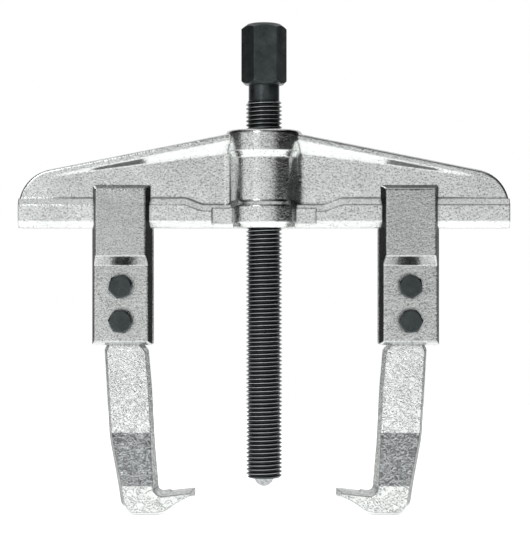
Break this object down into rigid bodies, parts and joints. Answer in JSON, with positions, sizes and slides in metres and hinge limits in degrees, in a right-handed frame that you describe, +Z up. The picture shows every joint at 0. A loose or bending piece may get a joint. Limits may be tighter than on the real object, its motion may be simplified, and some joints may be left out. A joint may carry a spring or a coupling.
{
  "type": "gear puller",
  "caption": "Two-arm sliding gear puller: hooked arms bolted between cheeks slide on a forged crossbeam, and a threaded spindle with a hex drive and a thrust ball presses down its middle.",
  "frame": {"origin": "on the spindle axis at the height of the claw undersides, the puller standing upright on its claws", "axes": "+X along the crossbeam towards the right arm, -Y towards the side that shows the bolt heads, +Z up along the spindle to its hex drive"},
  "size_m": [0.297, 0.0503, 0.3001],
  "materials": {
    "plated_forging": "rough forged steel with bright zinc plating",
    "black_oxide": "black oxide with a thin oil film",
    "spring_steel": "plain spring steel",
    "polished_ball": "polished hardened steel"
  },
  "bodies": {
    "crossbeam": {"crossbeam": "plated_forging"},
    "spindle": {"spindle": "black_oxide"},
    "thrust_ball": {"thrust_ball": "polished_ball"},
    "left_arm": {"left_front_cheek": "plated_forging", "left_back_cheek": "plated_forging", "left_hook": "plated_forging", "left_upper_bolt": "black_oxide", "left_lower_bolt": "black_oxide", "left_upper_washer": "spring_steel", "left_lower_washer": "spring_steel", "left_upper_nut": "black_oxide", "left_lower_nut": "black_oxide"},
    "right_arm": {"right_front_cheek": "plated_forging", "right_back_cheek": "plated_forging", "right_hook": "plated_forging", "right_upper_bolt": "black_oxide", "right_lower_bolt": "black_oxide", "right_upper_washer": "spring_steel", "right_lower_washer": "spring_steel", "right_upper_nut": "black_oxide", "right_lower_nut": "black_oxide"}
  },
  "joints": [
    {"name": "left_arm_slide", "type": "slide", "parent": "crossbeam", "child": "left_arm", "axis": [1, 0, 0], "range_m": [-0.044, 0.026]},
    {"name": "right_arm_slide", "type": "slide", "parent": "crossbeam", "child": "right_arm", "axis": [1, 0, 0], "range_m": [-0.028, 0.042]},
    {"name": "spindle_feed", "type": "slide", "parent": "crossbeam", "child": "thrust_ball", "axis": [0, 0, 1], "range_m": [-0.027, 0.1545]},
    {"name": "spindle_turn", "type": "hinge", "parent": "thrust_ball", "child": "spindle", "pos_m": [0, 0, 0.2], "axis": [0, 0, 1], "range_deg": [-3960, 22320]}
  ],
  "couplings": [
    {"joint": "spindle_turn", "follows": "spindle_feed", "rad_per_m": 2513.3}
  ]
}
